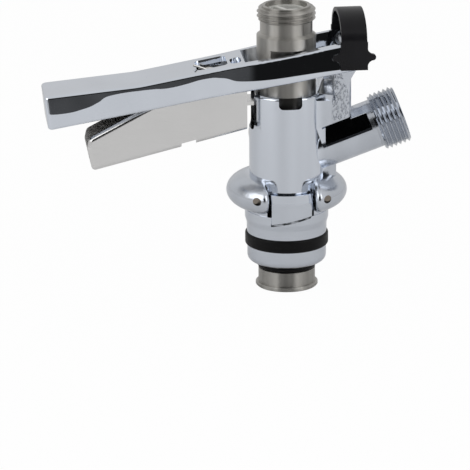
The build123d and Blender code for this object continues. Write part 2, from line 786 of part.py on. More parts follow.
# ================================================================ probe, its seals and check ball
with BuildPart() as probe:
    with BuildSketch(Plane.XZ):
        with BuildLine():
            Polyline(
                (beer_way_r, probe_end),
                (flange_r, probe_end),
                (flange_r, probe_end + flange_h),
                (tip_r, probe_end + flange_h),
                (tip_r, tip_groove_top - oring_section),
                (probe_r - oring_section, tip_groove_top - oring_section),
                (probe_r - oring_section, tip_groove_top),
                (land_r, tip_groove_top),
                (land_r, waist_low - waist_chamfer),
                (waist_r, waist_low + waist_chamfer),
                (waist_r, waist_top),
                (probe_r, waist_top),
                (probe_r, probe_neck_low - probe_shoulder_h),
                (probe_neck_r, probe_neck_low),
                (probe_neck_r, outlet_thread_low),
                (outlet_thread_r, outlet_thread_low),
                (outlet_thread_r, outlet_thread_high),
                (outlet_rim_r, outlet_thread_high),
                (outlet_rim_r, probe_top),
                (outlet_bore_r, probe_top),
                (outlet_bore_r, outlet_bore_low),
                (beer_way_r, outlet_bore_low),
                close=True,
            )
        make_face()
        for oring_z in (upper_oring_z, lower_oring_z):
            with Locations((probe_r, oring_z)):
                Rectangle(
                    2 * (probe_r - bore_oring_root_r),
                    bore_oring_section + seal_play,
                    mode=Mode.SUBTRACT,
                )
    revolve(axis=Axis.Z)
    chamfer(
        probe.edges().filter_by(GeomType.CIRCLE).filter_by(
            lambda edge: abs(edge.radius - outlet_thread_r) < 0.01
        ),
        thread_chamfer,
    )
    chamfer(
        probe.edges().filter_by(GeomType.CIRCLE).filter_by(lambda edge: abs(edge.radius - flange_r) < 0.01),
        flange_chamfer,
    )
    # milled flats that the lever's trunnions work in
    for side in (-1, 1):
        with BuildSketch(Plane.XZ.offset(side * flat_y)):
            with Locations((0, flat_low)):
                Rectangle(2 * probe_r, flat_h, align=(Align.CENTER, Align.MIN))
        extrude(amount=side * probe_r, mode=Mode.SUBTRACT)

with BuildPart() as probe_tip_oring:
    with BuildSketch(Plane.XZ):
        with Locations((probe_r - oring_section / 2, tip_groove_top - oring_section / 2)):
            Circle(oring_section / 2)
    revolve(axis=Axis.Z)

with BuildPart() as probe_upper_oring:
    with BuildSketch(Plane.XZ):
        with Locations((bore_oring_root_r + bore_oring_section / 2, upper_oring_z)):
            Circle(bore_oring_section / 2)
    revolve(axis=Axis.Z)

with BuildPart() as probe_lower_oring:
    with BuildSketch(Plane.XZ):
        with Locations((bore_oring_root_r + bore_oring_section / 2, lower_oring_z)):
            Circle(bore_oring_section / 2)
    revolve(axis=Axis.Z)

# the ball rests on the edge of the beer way, under a spoked retainer
ball_seat_z = outlet_bore_low + sqrt((ball_r + seal_play) ** 2 - beer_way_r**2)
with BuildPart() as beer_check_ball:
    with BuildSketch(Plane.XZ):
        with Locations((0, ball_seat_z)):
            Circle(ball_r)
        Rectangle(ball_r, 2 * probe_top, align=(Align.MAX, Align.MIN), mode=Mode.SUBTRACT)
    revolve(axis=Axis.Z)

with BuildPart() as ball_cage:
    with BuildSketch(Plane.XY.offset(probe_top - ball_cage_depth)):
        Circle(outlet_bore_r - fitted_play)
        Circle(outlet_bore_r - fitted_play - cage_wall, mode=Mode.SUBTRACT)
        with PolarLocations(0, 3):
            Rectangle(outlet_bore_r - cage_wall / 2, spoke_w, align=(Align.MIN, Align.CENTER))
    extrude(amount=cage_h)

# ================================================================ relief valve and pull ring
with BuildPart() as prv_cap:
    with BuildSketch(relief_plane.offset(boss_end)):
        Circle(cap_r)
    extrude(amount=cap_length)
    chamfer(prv_cap.edges().group_by(Axis.Y)[-1], cap_chamfer)
    with BuildSketch(relief_plane.offset(boss_end)):
        Circle(chamber_r - fitted_play)
    extrude(amount=-cap_skirt_length)
    with BuildSketch(relief_plane.offset(boss_end - cap_skirt_length)):
        Circle(chamber_r - cap_skirt_wall)
    extrude(amount=cap_skirt_length + cap_length - cap_top_wall, mode=Mode.SUBTRACT)
    with BuildSketch(relief_plane.offset(cap_end)):
        Circle(stem_r + stem_play)
    extrude(amount=-cap_top_wall, mode=Mode.SUBTRACT)

head_y = chamber_start + relief_seal_h
with BuildPart() as prv_stem:
    with BuildSketch(relief_plane.offset(head_y)):
        Circle(stem_head_r)
    extrude(amount=stem_head_h)
    with BuildSketch(relief_plane.offset(head_y + stem_head_h)):
        Circle(stem_r)
    extrude(amount=cap_end + stem_reach - head_y - stem_head_h)
    chamfer(prv_stem.edges().group_by(Axis.Y)[-1], stem_tip_chamfer)
    with BuildSketch(Plane.YZ):
        with Locations((ring_hole_y, relief_z)):
            Circle(ring_hole_r)
    extrude(amount=2 * stem_r, both=True, mode=Mode.SUBTRACT)

with BuildPart() as prv_seal:
    with BuildSketch(relief_plane.offset(chamber_start + seal_play)):
        Circle(stem_head_r - seal_play)
    extrude(amount=relief_seal_h - seal_play)

relief_coil_low = head_y + stem_head_h + relief_spring_wire_r + fitted_play
relief_coil_length = cap_end - cap_top_wall - relief_spring_wire_r - fitted_play - relief_coil_low
with BuildPart() as prv_spring:
    with BuildLine():
        relief_coil = Helix(
            relief_coil_length / relief_spring_turns,
            relief_coil_length,
            relief_spring_coil_r,
            center=(0, relief_coil_low, relief_z),
            direction=(0, 1, 0),
        )
    with BuildSketch(Plane(origin=relief_coil @ 0, z_dir=relief_coil % 0)):
        Circle(relief_spring_wire_r)
    sweep(path=relief_coil, is_frenet=True)

# split ring of two turns: each turn is flat, and a short ramp joins them at the bottom
turn_offset = ring_wire_r + ring_gap


def ring_point(turn, angle):
    """A point on one of the ring's turns; the angle runs from the ring's lowest point."""
    return Vector(
        ring_turn_r * sin(radians(angle)),
        ring_hole_y + turn * turn_offset,
        ring_centre_z - ring_turn_r * cos(radians(angle)),
    )


def ring_heading(angle):
    """Direction of the wire on a flat turn."""
    return Vector(cos(radians(angle)), 0, sin(radians(angle)))


with BuildPart() as pull_ring:
    with BuildLine():
        ThreePointArc(ring_point(-1, ramp_angle), ring_point(-1, 180), ring_point(-1, -ramp_angle))
        Spline(
            ring_point(-1, -ramp_angle),
            ring_point(0, 0),
            ring_point(1, ramp_angle),
            tangents=(ring_heading(-ramp_angle), ring_heading(ramp_angle)),
        )
        ThreePointArc(ring_point(1, ramp_angle), ring_point(1, 180), ring_point(1, -ramp_angle))
    with BuildSketch(Plane(origin=ring_point(-1, ramp_angle), z_dir=ring_heading(ramp_angle))):
        Circle(ring_wire_r)
    sweep()

# ================================================================ write the pieces
pieces = {
    "body_casting": body_casting,
    "keg_spigot": keg_spigot,
    "spigot_pins": spigot_pins,
    "bottom_seal": bottom_seal,
    "hinge_pin": hinge_pin,
    "hinge_clip": hinge_clip,
    "gas_check_valve": gas_check_valve,
    "gas_valve_cage": gas_valve_cage,
    "lever_handle": lever_handle,
    "trigger_pin": trigger_pin,
    "trigger": trigger,
    "trigger_spring": trigger_spring,
    "probe": probe,
    "probe_tip_oring": probe_tip_oring,
    "probe_upper_oring": probe_upper_oring,
    "probe_lower_oring": probe_lower_oring,
    "beer_check_ball": beer_check_ball,
    "ball_cage": ball_cage,
    "prv_cap": prv_cap,
    "prv_stem": prv_stem,
    "prv_seal": prv_seal,
    "prv_spring": prv_spring,
    "pull_ring": pull_ring,
}
os.makedirs("parts", exist_ok=True)
for name, piece in pieces.items():
    piece.part.label = name
    export_step(piece.part, f"parts/{name}.step")
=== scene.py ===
import bpy
import bmesh
import json
from math import cos, pi, radians, sin, tan
from mathutils import Matrix, Vector


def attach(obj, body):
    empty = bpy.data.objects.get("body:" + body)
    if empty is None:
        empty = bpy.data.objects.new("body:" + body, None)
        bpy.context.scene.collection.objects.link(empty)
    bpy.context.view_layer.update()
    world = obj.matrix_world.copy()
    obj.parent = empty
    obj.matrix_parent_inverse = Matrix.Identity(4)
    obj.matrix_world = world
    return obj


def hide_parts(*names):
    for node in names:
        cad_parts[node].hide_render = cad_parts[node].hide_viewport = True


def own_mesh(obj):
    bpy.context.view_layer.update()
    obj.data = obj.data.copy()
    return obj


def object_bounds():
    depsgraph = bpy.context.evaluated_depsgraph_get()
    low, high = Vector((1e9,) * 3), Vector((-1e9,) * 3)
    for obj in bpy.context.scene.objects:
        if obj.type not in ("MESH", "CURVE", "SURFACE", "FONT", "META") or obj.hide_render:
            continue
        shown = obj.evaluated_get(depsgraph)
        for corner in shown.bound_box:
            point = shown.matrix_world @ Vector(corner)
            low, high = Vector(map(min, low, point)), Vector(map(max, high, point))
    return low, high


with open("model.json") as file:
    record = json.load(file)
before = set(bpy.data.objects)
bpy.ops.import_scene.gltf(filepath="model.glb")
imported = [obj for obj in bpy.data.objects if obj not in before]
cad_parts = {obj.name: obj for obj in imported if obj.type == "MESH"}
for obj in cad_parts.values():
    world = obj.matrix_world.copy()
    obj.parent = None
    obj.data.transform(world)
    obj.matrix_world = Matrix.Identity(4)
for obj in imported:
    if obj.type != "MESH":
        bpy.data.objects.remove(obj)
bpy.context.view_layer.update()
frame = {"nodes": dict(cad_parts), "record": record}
nodes = frame["nodes"]
record = frame["record"]
mounts = {mount["name"]: mount for mount in record["mounts"]}


# ---------------------------------------------------------------- colours
CHROME = (0.745, 0.785, 0.855)
TURNED_CHROME = tuple(c * 0.88 for c in CHROME)
STEEL = (0.52, 0.505, 0.475)
SHEET = (0.765, 0.76, 0.755)
WIRE = (0.76, 0.75, 0.73)
PIN = (0.30, 0.265, 0.23)
RUBBER = (0.0045, 0.0045, 0.005)
BLACK_PLASTIC = ((0.006, 0.006, 0.007), (0.011, 0.0105, 0.013))
WHITE_PLASTIC = ((0.62, 0.62, 0.59), (0.74, 0.74, 0.71))

# ---------------------------------------------------------------- places on the casting, in metres
BARREL_R = 0.0145
SATIN_FROM, SATIN_TO = BARREL_R + 0.0002, BARREL_R + 0.0022
LUG_HALF, LUG_LOW = 0.0078, (-0.0022, 0.0009)
# painted shade under the front lug: how far below the lug's lower edge the dark line lies, and where the
# front begins
LUG_SHADE_LINE, LUG_FRONT = (-0.0002, 0.0016), -0.0140
# the latch's pocket, which gets painted shade
POCKET_X, POCKET_LOW = -0.0112, 0.0329
# the bore's two ends, between which the steel gets painted shade
BORE_LOW, BORE_HIGH = -0.0205, 0.0468
# the gas inlet's axis: its direction, and its height where it meets the barrel's axis
INLET_PLACE = Vector(mounts["gas_inlet"]["pos_m"])
INLET_AXIS = Vector(mounts["gas_inlet"]["axis"])
INLET_ZERO = INLET_PLACE.z - INLET_PLACE.x * INLET_AXIS.z / INLET_AXIS.x
THREAD_FROM = INLET_PLACE.x / INLET_AXIS.x - 0.0062
# the cored flats on both sides of the inlet's neck, and the bracket above them
CORE_Y, CORE_FROM, CORE_TO = 0.0062, 0.0008, 0.0090
CORE_LEAN, CORE_END = radians(13), 0.0362
NECK_TOP_X, NECK_TOP = 0.0243, 0.0070
BRACKET_X, BRACKET_LOW, BRACKET_END = 0.0165, CORE_TO + 0.0004, 0.031

# ---------------------------------------------------------------- places on the lever, in metres
# the lever's top: its knee, and the rise per length on both sides of it
KNEE = (-0.058, 0.05375)
GRIP_RISE = 0.092
PLATE_RISE = 0.1787
# how far down the side walls lean back, by place along the lever
LEAN_GRIP, LEAN_HINGE = radians(9.5), radians(12.5)
LEAN_STEEPENS = (-0.016, -0.010)
LEAN_FROM, LEAN_TO, LEAN_DEEPEST = -0.097, 0.024, 0.0105
LEAN_SOFT = 0.0002
LEAN = (
    (-0.097, 0.0056),
    (-0.0925, 0.0071),
    (-0.087, 0.0074),
    (-0.080, 0.0066),
    (-0.0735, 0.0045),
    (-0.069, 0.0025),
    (-0.060, 0.0020),
    (-0.053, 0.0025),
    (-0.0455, 0.0034),
    (-0.040, 0.0032),
    (-0.033, 0.0027),
    (-0.0265, 0.0036),
    (-0.019, 0.0064),
    (-0.010, 0.0076),
    (0.002, 0.0083),
    (0.024, 0.0100),
)

# ---------------------------------------------------------------- hose threads, notch and shelf, in metres
THREAD_PITCH = 0.0254 / 14
THREAD_ROOT_R, GROOVE_OUTER_R = 0.01035, 0.0118
ROOT_SHARE, GROOVE_SHARE = 0.07, 0.47
GAS_GROOVE = (-0.0064, 0.0062)
BEER_GROOVE = (-0.0036, 0.0034)
STEPS_PER_TURN = 120
# what tells a cut face from a drawn one, and one drawn face from the next
WELD_DISTANCE, NEW_FACE_DISTANCE = 1e-7, 3e-6
CREASE, INWARD, SAME_WAY = radians(10), 0.04, 0.85
NOTCH_X, NOTCH_H = (-0.0417, -0.0360), 0.0016
NOTCH_HALF, NOTCH_BELOW = 0.012, 0.003
CHANNEL_LOW, CHANNEL_RISE = 0.0279, 0.2433
RIM_TOP = 0.0474
SHELF_START, BRACKET_BACK = 0.0123, 0.0170
SHELF_SPREAD, SHELF_RISE = radians(32), 0.0054
SHELF_SINK, SHELF_DEPTH = 0.0002, 0.0026
SHELF_ENDS, SHELF_STEEP, SHELF_CREASE = 3, 0.4, radians(35)
SHELF_ROWS, SHELF_COLUMNS = 24, 10

# ---------------------------------------------------------------- studio
FLOOR_GAP, FLOOR_SIZE, FLOOR_TONE, FLOOR_GLOW = 0.0005, 6, 0.81, 0.97
ROOM, ROOM_RISE = 0.60, 0.1
GAP_TURN, GAP_HALF, GAP_TOP = radians(-8), radians(33), sin(radians(42))
GAP_SIDE_SOFT, GAP_TOP_SOFT = 0.06, 0.08
GAP_DEPTH, GAP_DEEPENS = 0.845, 0.14
LAMP_RISE, LAMP_DISTANCE, LAMP_LEVEL = radians(30), 0.8, 1.15
VIEW_TURN, VIEW_DOWN, VIEW_ROLL = radians(6.0), radians(17.3), radians(-0.35)
VIEW_DISTANCE, VIEW_WIDTH = 1.5, 0.18359375
AIM_RIGHT, AIM_UP = -0.02021484375, -0.011015625
SENSOR_WIDTH = 36


# ---------------------------------------------------------------- node helpers
class Graph:
    """A short way to build a node tree; a value is a number or another node's output."""

    def __init__(self, tree):
        self.tree = tree

    def node(self, kind, **settings):
        made = self.tree.nodes.new(kind)
        for key, value in settings.items():
            setattr(made, key, value)
        return made

    def link(self, out, into):
        self.tree.links.new(out, into)

    def maths(self, operation, *values):
        made = self.node("ShaderNodeMath", operation=operation)
        for socket, value in zip(made.inputs, values):
            if isinstance(value, (int, float)):
                socket.default_value = value
            else:
                self.link(value, socket)
        return made.outputs[0]

    def parts_of(self, vector):
        split = self.node("ShaderNodeSeparateXYZ")
        self.link(vector, split.inputs[0])
        return split.outputs[0], split.outputs[1], split.outputs[2]

    def step(self, value, low, high):
        """Rises smoothly from 0 at low to 1 at high."""
        made = self.node("ShaderNodeMapRange", interpolation_type="SMOOTHSTEP")
        made.inputs["From Min"].default_value = low
        made.inputs["From Max"].default_value = high
        self.link(value, made.inputs["Value"])
        return made.outputs["Result"]

    def compared(self, operation, value, limit):
        made = self.node("FunctionNodeCompare", operation=operation, data_type="FLOAT")
        self.link(value, made.inputs[0])
        made.inputs[1].default_value = limit
        return made.outputs[0]


class Material(Graph):
    """A node material under way, on the object's own coordinates."""

    def __init__(self, name):
        self.material = bpy.data.materials.new(name)
        self.material.use_nodes = True
        super().__init__(self.material.node_tree)
        self.shader = self.tree.nodes["Principled BSDF"]
        self.place = self.node("ShaderNodeTexCoord").outputs["Object"]

    def set(self, **values):
        for key, value in values.items():
            self.shader.inputs[key.replace("_", " ")].default_value = value

    def finished(self, colour, rough, normal):
        """Gives the three to the shader and hands the material over."""
        for name, out in (("Base Color", colour), ("Roughness", rough), ("Normal", normal)):
            self.link(out, self.shader.inputs[name])
        return self.material

    def scaled(self, scale):
        mapping = self.node("ShaderNodeMapping")
        mapping.inputs["Scale"].default_value = scale
        self.link(self.place, mapping.inputs["Vector"])
        return mapping.outputs["Vector"]

    def noise(self, scale, detail=3.0, rough=0.5, vector=None):
        made = self.node("ShaderNodeTexNoise")
        made.inputs["Scale"].default_value = scale
        made.inputs["Detail"].default_value = detail
        made.inputs["Roughness"].default_value = rough
        self.link(vector or self.place, made.inputs["Vector"])
        return made.outputs["Fac"]

    def stretched_noise(self, scale, detail, rough):
        return self.noise(1.0, detail, rough, self.scaled(scale))

    def ramp(self, value, stops):
        """Colours between two stops, each a place and a colour."""
        made = self.node("ShaderNodeValToRGB")
        for element, (at, colour) in zip(made.color_ramp.elements, stops):
            element.position = at
            element.color = (*colour, 1)
        self.link(value, made.inputs["Fac"])
        return made.outputs["Color"]

    def tinted(self, value, colour, share):
        """The colour, darkened to a share of itself where value is low."""
        return self.ramp(value, [(0.3, tuple(c * share for c in colour)), (0.7, colour)])

    def darkened(self, colour, where, amount):
        """The colour, taken down by an amount where the mask is 1."""
        mix = self.node("ShaderNodeMix", data_type="RGBA", blend_type="MULTIPLY")
        self.link(self.maths("MULTIPLY", where, amount), mix.inputs[0])
        self.link(colour, mix.inputs[6])
        mix.inputs[7].default_value = (0, 0, 0, 1)
        return mix.outputs[2]

    def span(self, value, low, high, to_low, to_high):
        made = self.node("ShaderNodeMapRange")
        names = ("From Min", "From Max", "To Min", "To Max")
        for name, number in zip(names, (low, high, to_low, to_high)):
            made.inputs[name].default_value = number
        self.link(value, made.inputs["Value"])
        return made.outputs["Result"]

    def below(self, value, limit):
        return self.maths("LESS_THAN", value, limit)

    def above(self, value, limit):
        return self.maths("GREATER_THAN", value, limit)

    def all_of(self, first, *others):
        for other in others:
            first = self.maths("MULTIPLY", first, other)
        return first

    def bump(self, height, distance, strength=1.0, normal=None):
        made = self.node("ShaderNodeBump")
        made.inputs["Strength"].default_value = strength
        made.inputs["Distance"].default_value = distance
        self.link(height, made.inputs["Height"])
        if normal is not None:
            self.link(normal, made.inputs["Normal"])
        return made.outputs["Normal"]


# ---------------------------------------------------------------- chrome
def painted_shade_under_lug(g):
    """Painted shade: a streaky dark line painted on the collar under the lug's slanting lower edge, where
    the lug's underside would shade the collar below it.
    """
    x, y, z = g.parts_of(g.place)
    edge = g.span(x, -LUG_HALF, LUG_HALF, *LUG_LOW)
    down = g.maths("SUBTRACT", edge, z)
    beside = g.below(g.maths("ABSOLUTE", x), LUG_HALF)
    streak = g.span(g.stretched_noise((500, 100, 1400), 2, 0.5), 0.35, 0.5, 0.3, 1.0)
    line = g.all_of(g.above(down, LUG_SHADE_LINE[0]), g.below(down, LUG_SHADE_LINE[1]))
    return g.all_of(beside, line, g.below(y, LUG_FRONT), streak)


def turned_chrome():
    """Bright plating on turned pieces: slow waves from polishing, faint pits, a few dull marks and a painted
    shade line under the lug.
    """
    g = Material("turned_chrome")
    g.set(Metallic=1.0)
    plating = g.tinted(g.noise(90, 4), TURNED_CHROME, 0.93)
    rough = g.span(g.noise(420, 6, 0.65), 0.45, 0.8, 0.12, 0.22)
    slow = g.bump(g.noise(55, 1.0), 0.00004)
    pits = g.bump(g.noise(1500, 3, 0.7), 0.000005, 0.6, slow)
    # painted shade: the collar under the lug is darkened to 7% of the plating
    return g.finished(g.darkened(plating, painted_shade_under_lug(g), 0.93), rough, pits)


def inlet_places(g, x, z):
    """How far a place lies along the gas inlet's axis and above it, from the barrel's axis."""
    raised = g.maths("SUBTRACT", z, INLET_ZERO)
    along = g.maths("ADD", g.maths("MULTIPLY", x, INLET_AXIS.x), g.maths("MULTIPLY", raised, INLET_AXIS.z))
    above = g.maths("ADD", g.maths("MULTIPLY", x, -INLET_AXIS.z), g.maths("MULTIPLY", raised, INLET_AXIS.x))
    return along, above


def cored_flats(g, x, y, along, above):
    """Where the neck's two cored flats are."""
    high_enough = g.all_of(g.above(above, CORE_FROM), g.below(above, CORE_TO))
    on_the_neck = g.all_of(g.below(along, CORE_END), g.above(x, BARREL_R))
    return g.all_of(high_enough, on_the_neck, g.below(g.maths("ABSOLUTE", y), CORE_Y + 0.0002))


def casting_skin(g, satin, bracket):
    """Slow waves under a satin skin, and the creases of the sand on the bracket."""
    waves = g.maths("MULTIPLY", g.noise(70, 1.0), g.span(satin, 0, 1, 0.1, 1.0))
    slow = g.bump(waves, 0.0003)
    skin = g.bump(g.maths("MULTIPLY", g.noise(900, 4, 0.65), satin), 0.00007, 0.8, slow)
    creases = g.span(g.stretched_noise((1000, 900, 560), 3, 0.6), 0.38, 0.5, 0, 1)
    return g.bump(g.maths("MULTIPLY", creases, bracket), 0.0004, 1.0, skin)


def cast_chrome():
    """Plating over a casting: polished barrel, satin arms and ring, rough bracket, bright thread."""
    g = Material("cast_chrome")
    g.set(Metallic=1.0)
    x, y, z = g.parts_of(g.place)
    from_axis = g.maths("SQRT", g.maths("ADD", g.maths("MULTIPLY", x, x), g.maths("MULTIPLY", y, y)))
    along, above = inlet_places(g, x, z)
    thread = g.above(along, THREAD_FROM)
    flats = cored_flats(g, x, y, along, above)
    plain = g.maths("SUBTRACT", 1.0, g.maths("MAXIMUM", thread, flats))
    satin = g.maths("MULTIPLY", g.span(from_axis, SATIN_FROM, SATIN_TO, 0.0, 1.0), plain)
    # painted shade: the latch's pocket and the cored flats below the neck's top are darkened almost to
    # black, as the shade in these recesses; the thread is a quarter darker
    pocket = g.all_of(g.below(x, POCKET_X), g.below(from_axis, BARREL_R - 0.0001), g.above(z, POCKET_LOW))
    neck_top = g.all_of(g.above(x, NECK_TOP_X), g.above(above, NECK_TOP))
    flats = g.maths("MULTIPLY", flats, g.maths("SUBTRACT", 1.0, neck_top))
    painted_recess_shade = g.maths("MULTIPLY", g.maths("MAXIMUM", pocket, flats), 0.93)
    recess_shade_and_thread_tone = g.maths("MAXIMUM", painted_recess_shade, g.maths("MULTIPLY", thread, 0.25))
    tone = g.maths("MAXIMUM", recess_shade_and_thread_tone, g.maths("MULTIPLY", satin, 0.13))
    plating = g.tinted(g.stretched_noise((110, 110, 2), 1.0, 0.5), CHROME, 0.86)
    marks = g.span(g.noise(420, 6, 0.65), 0.45, 0.8, 0.0, 0.08)
    rough = g.maths("ADD", g.span(satin, 0, 1, 0.11, 0.2), marks)
    bracket = g.all_of(g.above(x, BRACKET_X), g.above(above, BRACKET_LOW), g.below(along, BRACKET_END))
    # the flats lean back towards the bracket
    lean = g.maths("MULTIPLY", g.maths("MULTIPLY", above, flats), -tan(CORE_LEAN))
    normal = g.bump(lean, 1.0, 1.0, casting_skin(g, satin, bracket))
    return g.finished(g.darkened(plating, tone, 1.0), rough, normal)


def below_lever_top(g, x, z):
    """How far a place lies below the lever's top, whose two slopes meet at the knee."""
    from_knee = g.maths("SUBTRACT", x, KNEE[0])
    slopes = [g.maths("MULTIPLY", from_knee, rise) for rise in (GRIP_RISE, PLATE_RISE)]
    top = g.maths("ADD", g.maths("MAXIMUM", *slopes), KNEE[1])
    return g.maths("SUBTRACT", top, z)


def lean_reach(g, x):
    """How far down the polished lean reaches, from the grip's end to the hinge."""
    curve = g.node("ShaderNodeFloatCurve")
    g.link(g.span(x, LEAN_FROM, LEAN_TO, 0, 1), curve.inputs["Value"])
    points = curve.mapping.curves[0].points
    while len(points) < len(LEAN):
        points.new(0.5, 0.5)
    for point, (at, depth) in zip(points, LEAN):
        point.location = ((at - LEAN_FROM) / (LEAN_TO - LEAN_FROM), depth / LEAN_DEEPEST)
    curve.mapping.update()
    return g.maths("MULTIPLY", curve.outputs[0], LEAN_DEEPEST)


def lever_chrome():
    """Plating over a hand-polished lever, whose side walls lean back towards their upper edges."""
    g = Material("lever_chrome")
    g.set(Metallic=1.0)
    x, y, z = g.parts_of(g.place)
    within = g.maths("SUBTRACT", lean_reach(g, x), below_lever_top(g, x, z))
    depth = g.maths("SMOOTH_MAX", within, 0.0, LEAN_SOFT)
    steep = g.span(x, *LEAN_STEEPENS, -tan(LEAN_GRIP), -tan(LEAN_HINGE))
    lean = g.bump(g.maths("MULTIPLY", depth, steep), 1.0)
    slow = g.bump(g.noise(45, 1.0), 0.00025, 1.0, lean)
    pits = g.bump(g.noise(1700, 3, 0.7), 0.000004, 0.6, slow)
    rough = g.span(g.noise(380, 6, 0.65), 0.45, 0.85, 0.035, 0.11)
    return g.finished(g.tinted(g.noise(60, 4), CHROME, 0.94), rough, pits)


# ---------------------------------------------------------------- steel, rubber and plastic
def painted_bore_shade(g):
    """Where painted shade goes: between the bore's two ends in the casting's own heights, wherever the probe
    has slid to, for the shade inside the barrel.

    It looks at height alone, so the relief valve's stem, of the same steel, is darkened with the probe.
    """
    casting = g.node("ShaderNodeTexCoord", object=nodes["body_casting"])
    height = g.parts_of(casting.outputs["Object"])[2]
    return g.all_of(g.above(height, BORE_LOW), g.below(height, BORE_HIGH))


def turned_steel():
    """Stainless turned on a lathe: fine rings round the axis that draw reflections out along it, with
    painted shade where it lies in the bore.
    """
    g = Material("turned_steel")
    g.set(Metallic=1.0, Anisotropic=0.97, Anisotropic_Rotation=0.25)
    tangent = g.node("ShaderNodeTangent", direction_type="RADIAL", axis="Z")
    g.link(tangent.outputs[0], g.shader.inputs["Tangent"])
    rings = g.stretched_noise((60, 60, 9000), 3, 0.6)
    steel = g.tinted(g.stretched_noise((230, 230, 3), 1.5, 0.5), STEEL, 0.6)
    rough = g.span(rings, 0.3, 0.7, 0.34, 0.42)
    # painted shade: the steel within the bore's heights is darkened to a tenth
    return g.finished(g.darkened(steel, painted_bore_shade(g), 0.9), rough, g.bump(rings, 0.000006))


def sheet_steel():
    """Pressed stainless sheet, polished along its length, with light scratches."""
    g = Material("sheet_steel")
    g.set(Metallic=1.0)
    grain = g.stretched_noise((90, 4000, 4000), 4, 0.6)
    slow = g.bump(g.noise(30, 1.0), 0.00035)
    scratches = g.bump(grain, 0.000006, 1.0, slow)
    return g.finished(g.tinted(g.noise(40, 3), SHEET, 0.95), g.span(grain, 0.3, 0.75, 0.12, 0.26), scratches)


def wire(name, colour):
    """Drawn wire or ground pin: faint lines from the die."""
    g = Material(name)
    g.set(Metallic=1.0)
    lines = g.noise(700, 4, 0.6)
    rough = g.span(lines, 0.3, 0.75, 0.12, 0.28)
    return g.finished(g.tinted(lines, colour, 0.8), rough, g.bump(lines, 0.000015))


def seal_rubber():
    """Moulded black rubber with a soft bloom and a fine matt grain."""
    g = Material("seal_rubber")
    g.set(IOR=1.5, Specular_IOR_Level=0.14)
    bloom = g.noise(180, 5, 0.6)
    grain = g.bump(g.noise(2600, 3, 0.6), 0.00001)
    return g.finished(g.tinted(bloom, RUBBER, 0.6), g.span(bloom, 0.3, 0.8, 0.34, 0.55), grain)


def moulded_plastic(name, dark, light, rough, gloss):
    """Injection moulding: satin, with a slight flow pattern and fine grain."""
    g = Material(name)
    g.set(IOR=1.49, Specular_IOR_Level=gloss)
    flow = g.noise(70, 4, 0.55)
    slow = g.bump(g.noise(110, 2), 0.00012)
    grain = g.bump(g.noise(2200, 3, 0.6), 0.000012, 1.0, slow)
    colour = g.ramp(flow, [(0.3, dark), (0.75, light)])
    return g.finished(colour, g.span(flow, 0.3, 0.8, rough, rough + 0.14), grain)


by_slot = {
    "cast_chrome": cast_chrome(),
    "turned_chrome": turned_chrome(),
    "lever_chrome": lever_chrome(),
    "turned_steel": turned_steel(),
    "sheet_steel": sheet_steel(),
    "spring_steel": wire("spring_steel", WIRE),
    "pin_steel": wire("pin_steel", PIN),
    "seal_rubber": seal_rubber(),
    "clip_plastic": moulded_plastic("clip_plastic", *BLACK_PLASTIC, 0.24, 0.2),
    "inner_plastic": moulded_plastic("inner_plastic", *WHITE_PLASTIC, 0.36, 0.5),
}
for part in record["subparts"]:
    dressed = nodes[part["node"]]
    dressed.data.materials.clear()
    dressed.data.materials.append(by_slot[part["material_slot"]])


# ---------------------------------------------------------------- relief spring
def relief_spring():
    """The relief valve's spring, as drawn, as an object of its own that moves with the root."""
    drawn = nodes["prv_spring"]
    spring = bpy.data.objects.new("relief_spring", drawn.data.copy())
    spring.matrix_world = drawn.matrix_world
    bpy.context.scene.collection.objects.link(spring)
    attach(spring, "root")
    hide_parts("prv_spring")
    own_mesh(spring)


relief_spring()


# ---------------------------------------------------------------- mesh helpers
def object_from(mesh, name):
    """Puts a bmesh into the scene as an object, and frees it."""
    data = bpy.data.meshes.new(name)
    mesh.to_mesh(data)
    mesh.free()
    made = bpy.data.objects.new(name, data)
    bpy.context.scene.collection.objects.link(made)
    return made


def bridge(mesh, ring, after):
    """Faces between two rings with as many points each."""
    for k in range(len(ring)):
        follows = (k + 1) % len(ring)
        mesh.faces.new((ring[k], ring[follows], after[follows], after[k]))


def capped(mesh, first, last):
    """Closes a chain of rings at both ends and turns all faces outwards."""
    mesh.faces.new(first[::-1])
    mesh.faces.new(last)
    bmesh.ops.recalc_face_normals(mesh, faces=mesh.faces)


def as_cutter(piece, body):
    """Hides a piece that only cuts others, and lets it move with what it cuts."""
    piece.hide_render = True
    piece.hide_viewport = True
    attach(piece, body)
    return piece


# ---------------------------------------------------------------- cutters
def groove_section(crest_r):
    """The V of a thread groove, as radius and height, wide enough at the crest to leave a narrow land."""
    depth_share = (GROOVE_OUTER_R - THREAD_ROOT_R) / (crest_r - THREAD_ROOT_R)
    outer_half = THREAD_PITCH * GROOVE_SHARE * depth_share
    root_half = THREAD_PITCH * ROOT_SHARE
    root = [(THREAD_ROOT_R, -root_half), (THREAD_ROOT_R, root_half)]
    outer = [(GROOVE_OUTER_R, -outer_half), (GROOVE_OUTER_R, outer_half)]
    return [root[0], outer[0], outer[1], root[1]]


